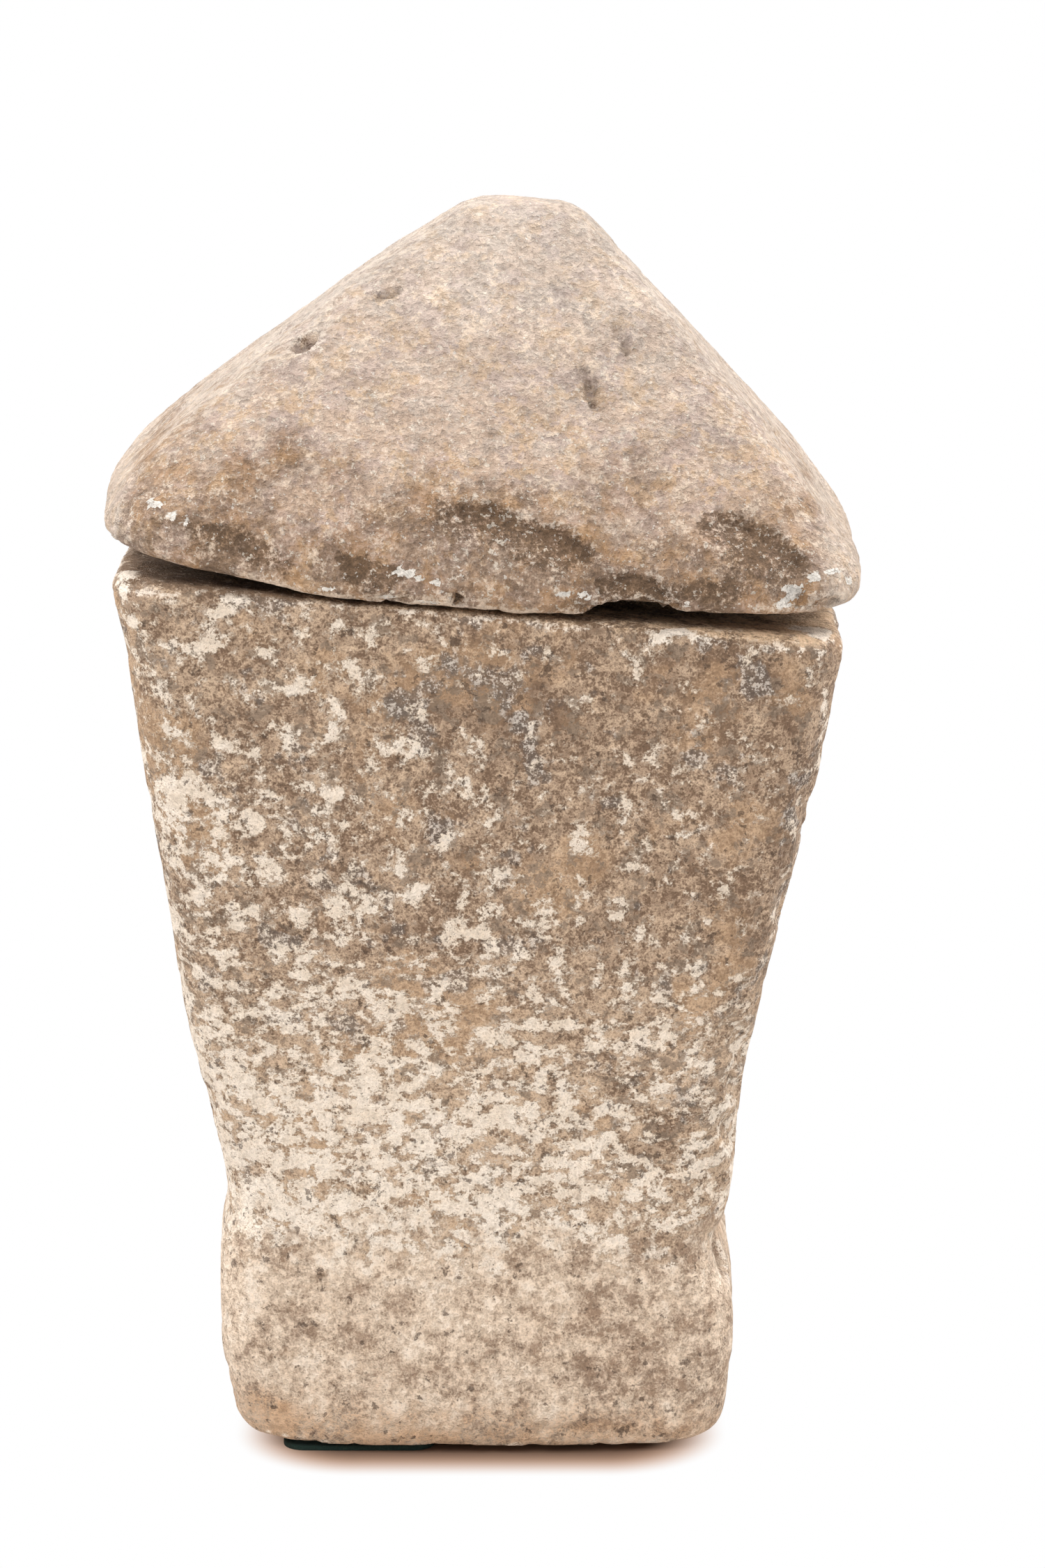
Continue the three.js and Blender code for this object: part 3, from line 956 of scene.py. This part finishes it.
# %% Paint the lid
def lid_limestone():
    bench = Bench("lid_limestone")
    place = bench.place()
    x, z = bench.along(place, 0), bench.along(place, 2)
    dark_zone, ochre_zone = bench.noted("dark_zone"), bench.noted("ochre_zone")
    chip_zone, crust_zone = bench.noted("chip_zone"), bench.noted("crust_zone")
    edge_wear_and_light, hollow_dirt_and_shade, hem = bench.noted("edge_wear_and_light"), bench.noted("hollow_dirt_and_shade"), bench.noted("hem")
    slant = {"Rotation": (0.3, 0.45, 0.2), "Scale": (1, 1, 1.6)}
    slanting = bench.node("ShaderNodeMapping", None, {"Vector": place, **slant})

    tone = bench.clouds(place, 0.035, 3, 0.55, 1.3)
    mottle = bench.clouds(place, 0.011, 5, 0.68)
    stroke = bench.clouds(slanting, 0.0055, 4, 0.68, 2.0)
    fine = bench.clouds(place, 0.003, 3, 0.65)
    grain = bench.clouds(place, 0.0012, 2, 0.6)
    stipple = fine * 0.75 + grain * 0.65
    pits = (stroke * 0.7 + fine * 0.5).lower(0.3)

    above = z + x * RIM_SLOPE - RIM_HEIGHT
    rise = bench.step(above + mottle * 0.01, *PEAK_RISE)
    ash = bench.step(bench.clouds(place, 0.018, 6, 0.66, 4.4) + rise * 0.4, 0.0, 1.4)
    stone = bench.coat(ROSE, ASH, ash * 0.6)
    mauve = bench.step(bench.clouds(place, 0.022, 6, 0.64, 13.9), 0.1, 1.2)
    stone = bench.coat(stone, MAUVE, mauve * 0.6)
    hanging = bench.node("ShaderNodeMapping", None, {"Vector": place, "Scale": (1, 1, 0.3)})
    drips = bench.clouds(hanging, 0.0045, 3, 0.6, 8.8)
    rust = bench.clouds(place, 0.016, 6, 0.66, 6.1) + drips * 0.4 + ochre_zone * 0.8
    stone = bench.coat(stone, RUST, bench.step(rust, 0.4, 1.8) * 0.65)
    stone = bench.coat(stone, PEAK_PALE, rise * 0.3)
    fleck_field = bench.clouds(slanting, 0.007, 5, 0.7, 3.3) + stipple * 0.3 + crust_zone * 0.4
    stone = bench.coat(stone, FLECK_PALE, bench.step(fleck_field, 0.9, 1.8) * 0.26)
    stone = bench.coat(stone, FLECK_DARK, bench.step(stipple * 0.4 - stroke, 1.2, 2.4) * 0.24)

    # Painted light: the flanks beyond the hips are painted paler, where the side light falls on them.
    left_flank = z * LEFT_FLANK[0] - x - LEFT_FLANK[1]
    right_flank = z * RIGHT_FLANK[0] + x - RIGHT_FLANK[1]
    lit_flank = left_flank.higher(right_flank) + mottle * 0.004 + stroke * 0.003
    stone = bench.coat(stone, FLANK_LIGHT, bench.step(lit_flank, -0.004, 0.014) * 0.6)

    # Painted light: the ends of the lid are painted paler, and the earth of the lower edge is mostly
    # kept off them.
    ends = bench.step((x * -1 - LEFT_END).higher(x - RIGHT_END), -0.004, 0.008)
    stone = bench.coat(stone, FLECK_PALE, ends * 0.3)
    # The lower edge is darkened: partly earth, partly painted shade of the upright band.
    edge = bench.step(above + tone * 0.008 + mottle * 0.003, *EDGE_RISE) * (1 - ends * 0.85)
    earthy = edge * bench.step(mottle * 0.22 + stipple * 0.32 + tone * 0.25, 1.9, -1.1)
    golden = bench.step(bench.clouds(place, 0.02, 5, 0.62, 10.7) - dark_zone * 0.2, -0.9, 1.2)
    stone = bench.coat(stone, bench.coat(EARTH, GOLD, golden), earthy * 0.8)
    # Dark brown patches on the lower edge, more of its painted shade.
    patch = bench.step(bench.clouds(place, 0.016, 4, 0.62, 8.2) + dark_zone * 0.4, 0.8, 2.0)
    stone = bench.coat(stone, SCOOP_SHADE, patch * edge * 0.5)
    # Painted shade under the scoops, and the dark stains, in a stippled dark brown.
    shade_and_stain_colour = bench.coat(SCOOP_SHADE, EARTH, bench.step(stipple * 0.8 + mottle * 0.3, -0.8, 1.8))
    shade_and_stain = bench.step(dark_zone * (1.0 - mottle * 0.13 - stipple * 0.25), 0.1, 1.3)
    stone = bench.coat(stone, shade_and_stain_colour, shade_and_stain * 0.85)

    crust = bench.step(bench.clouds(place, 0.0045, 4, 0.7, 5.5) + crust_zone * 1.2, 1.8, 2.2)
    stone = bench.coat(stone, CRUST, crust * 0.75)
    chips = bench.step(chip_zone + stipple * 0.14, 0.42, 0.5)
    crumbs = bench.step(bench.clouds(place, 0.003, 3, 0.6, 2.9) + edge * 0.2, 2.3, 2.7)
    stone = bench.coat(stone, CHIP, chips.higher(crumbs * 0.6))
    # Worn edges paler; this also paints the highlight along the hips and edges.
    worn_and_lit_edge = bench.step(edge_wear_and_light + stipple * 0.2, 0.4, 1.0)
    stone = bench.coat(stone, FLECK_PALE, worn_and_lit_edge * 0.45)
    pale_hem = bench.step(hem + mottle * 0.3 + stipple * 0.2, 0.3, 1.0) * (1 - shade_and_stain)
    stone = bench.coat(stone, HEM, pale_hem * 0.8)
    # Darker in hollows: dirt, and painted shade.
    stone = bench.coat(stone, UMBER, bench.step(hollow_dirt_and_shade + stipple * 0.15, 0.35, 1.1) * 0.4)
    # The pits term paints the low parts of the bump darker, as painted shade of the relief.
    stone = bench.shade(stone, 0.95 + tone * 0.05 + mottle * 0.02 + stipple * 0.035 + pits * 0.04)

    height_map = mottle * 0.22 + pits * 0.3 + stipple * 0.15 + chips * 0.2 + crust * 0.2
    roughness = 0.82 - chips * 0.1 - edge_wear_and_light * 0.15
    return bench.finish(stone, roughness, height_map, distance=0.0012)


box.data.materials.append(box_limestone())
lid.data.materials.append(lid_limestone())

# %% [markdown]
# ## Felt pads
#
# Thin green felt keeps the rough base off the floor, and its edge shows under the front left of
# the urn. A pad is pressed wool: flat where the stone bears on it, with a soft rounded edge and a
# fuzzy, uneven face. Each is a slab cut to its solid's box, with bevelled sides. Bevel lists its
# faces in an order of its own from run to run, so points and faces are put in a fixed order.

# %% Model the felt
FELT_GREEN = (0.005, 0.022, 0.016)
FELT_FUZZ = (0.012, 0.038, 0.028)
FELT_CORNER = 0.012
FELT_ROUND = 0.2  # share of the thickness that each rim's bevel takes


def felt_wool():
    bench = Bench("felt")
    place = bench.place()
    wool = bench.clouds(place, 0.0016, 4, 0.7)
    matted = bench.clouds(place, 0.012, 4, 0.6)
    colour = bench.coat(FELT_GREEN, FELT_FUZZ, bench.step(wool * 0.7 + matted * 0.4, -0.5, 2.0))
    return bench.finish(colour, 0.94 + wool * 0.02, wool * 0.2 + matted * 0.1, distance=0.0006)


def felt_pad(node, felt):
    """A felt slab in the box of a solid."""
    low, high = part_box(node)
    size = high - low
    slab = bmesh.new()
    bmesh.ops.create_cube(slab, size=1)
    bmesh.ops.scale(slab, vec=size, verts=slab.verts)
    upright = [e for e in slab.edges if abs(e.verts[0].co.z - e.verts[1].co.z) > size.z / 2]
    bmesh.ops.bevel(
        slab, geom=upright, offset=FELT_CORNER, segments=6, profile=0.5, affect="EDGES", material=-1
    )
    rims = [e for e in slab.edges if abs(e.verts[0].co.z - e.verts[1].co.z) < size.z / 2]
    bmesh.ops.bevel(
        slab, geom=rims, offset=size.z * FELT_ROUND, segments=2, profile=0.5, affect="EDGES", material=-1
    )
    bmesh.ops.translate(slab, vec=(low + high) / 2, verts=slab.verts)
    points = sorted(tuple(v.co) for v in slab.verts)
    number = {point: index for index, point in enumerate(points)}
    rings = [[number[tuple(v.co)] for v in face.verts] for face in slab.faces]
    starts = [ring.index(min(ring)) for ring in rings]
    rings = sorted(ring[start:] + ring[:start] for ring, start in zip(rings, starts))
    slab.free()
    mesh = bpy.data.meshes.new("soft_" + node)
    mesh.from_pydata(points, [], rings)
    mesh.shade_smooth()
    mesh.materials.append(felt)
    piece = bpy.data.objects.new("soft_" + node, mesh)
    scene.collection.objects.link(piece)
    return piece


# %% [markdown]
# ## Put the pieces on their bodies
#
# The box and its felt stay. The lid rides on the body that lifts.

# %% Ride, replace and make the felt
def settle(piece, body, node):
    """A finished piece rides on its body and stands for its solid."""
    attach(piece, body)
    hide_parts(node)


settle(box, "urn", "urn_box")
settle(lid, "lid", "lid")
wool = felt_wool()
for node in sorted(nodes):
    if node.startswith("felt_pad"):
        settle(felt_pad(node, wool), "urn", node)

# %% [markdown]
# ## Floor and light
#
# The urn stands on a white sweep. Camera and mirror rays see the sweep glow, so that it goes to
# plain white, but the glow fades towards the foot. There a warm tint and a dark brown paper paint
# the contact shadow around the foot's outline, over the real shadow. The light is soft: two tall
# panels behind the urn's shoulders, a broad one high above the front, and a pale world.

# %% Lay the floor
# The contact shadow is painted on the floor, by the distance from the foot's outline.
SHADE_CORE = (0.07, 0.097)  # half the width and depth of the middle of the contact shadow
SHADE_ROUND = 0.025  # how far its dark part rounds out from there
SHADE_REACH = 0.047  # how far its edge fades out
PAPER = (0.82, 0.80, 0.78)
SHADED_PAPER = (0.25, 0.165, 0.12)
SHADOW_TINT_GLOW = (1.0, 0.66, 0.48)


def floor_paper():
    bench = Bench("paper")
    place = bench.place()
    outs = []
    for axis, core in enumerate(SHADE_CORE):
        along = bench.along(place, axis)
        out = (along.higher(along * -1) - core).higher(0)
        outs.append(out * out)
    away = (outs[0] + outs[1]).join("POWER", 0.5) - SHADE_ROUND
    path = bench.node("ShaderNodeLightPath")
    rays = [Signal(bench, path.socket.node.outputs[n]) for n in ("Is Camera Ray", "Is Glossy Ray")]
    paper = bench.node("ShaderNodeBsdfDiffuse", None, {"Color": PAPER})
    # Near the foot camera rays see dark brown paper and a warm tint: a painted contact shadow.
    shaded = bench.node("ShaderNodeBsdfDiffuse", None, {"Color": SHADED_PAPER})
    white = bench.coat(SHADOW_TINT_GLOW, (1, 1, 1), bench.step(away, 0.014, SHADE_REACH))
    glow = bench.node("ShaderNodeEmission", None, {"Color": white})
    fade = bench.step(away, 0.006, SHADE_REACH)
    seen = bench.node("ShaderNodeMixShader", None, {0: fade, 1: shaded, 2: glow})
    looked_at = rays[0].higher(rays[1])
    mixed = bench.node("ShaderNodeMixShader", None, {0: looked_at, 1: paper, 2: seen})
    output = bench.tree.nodes.new("ShaderNodeOutputMaterial")
    bench.tree.links.new(mixed.socket, output.inputs["Surface"])
    return bench.material


floor_mesh = bpy.data.meshes.new("floor")
floor_shell = bmesh.new()
bmesh.ops.create_grid(floor_shell, x_segments=1, y_segments=1, size=6)
floor_shell.to_mesh(floor_mesh)
floor_shell.free()
floor_mesh.materials.append(floor_paper())
floor = bpy.data.objects.new("floor", floor_mesh)
scene.collection.objects.link(floor)


# %% Light the room
def panel(name, place, aim, size, power, colour=(1, 1, 1)):
    """A soft panel light at a place, facing a point."""
    light = bpy.data.lights.new(name, "AREA")
    light.shape = "RECTANGLE"
    light.size, light.size_y = size
    light.energy = power
    light.color = colour
    lamp = bpy.data.objects.new(name, light)
    lamp.location = place
    lamp.rotation_euler = (Vector(aim) - Vector(place)).to_track_quat("-Z", "Y").to_euler()
    scene.collection.objects.link(lamp)


MIDDLE = (0, 0, 0.4)
panel("front_panel", (-0.5, -2.3, 2.7), MIDDLE, (2.2, 1.6), 76)
panel("left_panel", (-1.7, 0.5, 2.0), MIDDLE, (1.2, 2.0), 50)
panel("right_panel", (1.7, 0.6, 2.0), MIDDLE, (1.2, 2.0), 62)

world = bpy.data.worlds.new("sweep")
world.use_nodes = True
scene.world = world
sky = world.node_tree
sky.nodes.clear()
lit = sky.nodes.new("ShaderNodeBackground")
lit.inputs["Color"].default_value = (0.8, 0.8, 0.8, 1)
lit.inputs["Strength"].default_value = 0.5
white = sky.nodes.new("ShaderNodeBackground")
white.inputs["Color"].default_value = (1, 1, 1, 1)
path = sky.nodes.new("ShaderNodeLightPath")
either = sky.nodes.new("ShaderNodeMath")
either.operation = "MAXIMUM"
mixed = sky.nodes.new("ShaderNodeMixShader")
output = sky.nodes.new("ShaderNodeOutputWorld")
sky.links.new(path.outputs["Is Camera Ray"], either.inputs[0])
sky.links.new(path.outputs["Is Glossy Ray"], either.inputs[1])
sky.links.new(either.outputs[0], mixed.inputs[0])
sky.links.new(lit.outputs[0], mixed.inputs[1])
sky.links.new(white.outputs[0], mixed.inputs[2])
sky.links.new(mixed.outputs[0], output.inputs["Surface"])

# %% Finish
scene.view_settings.view_transform = "Standard"
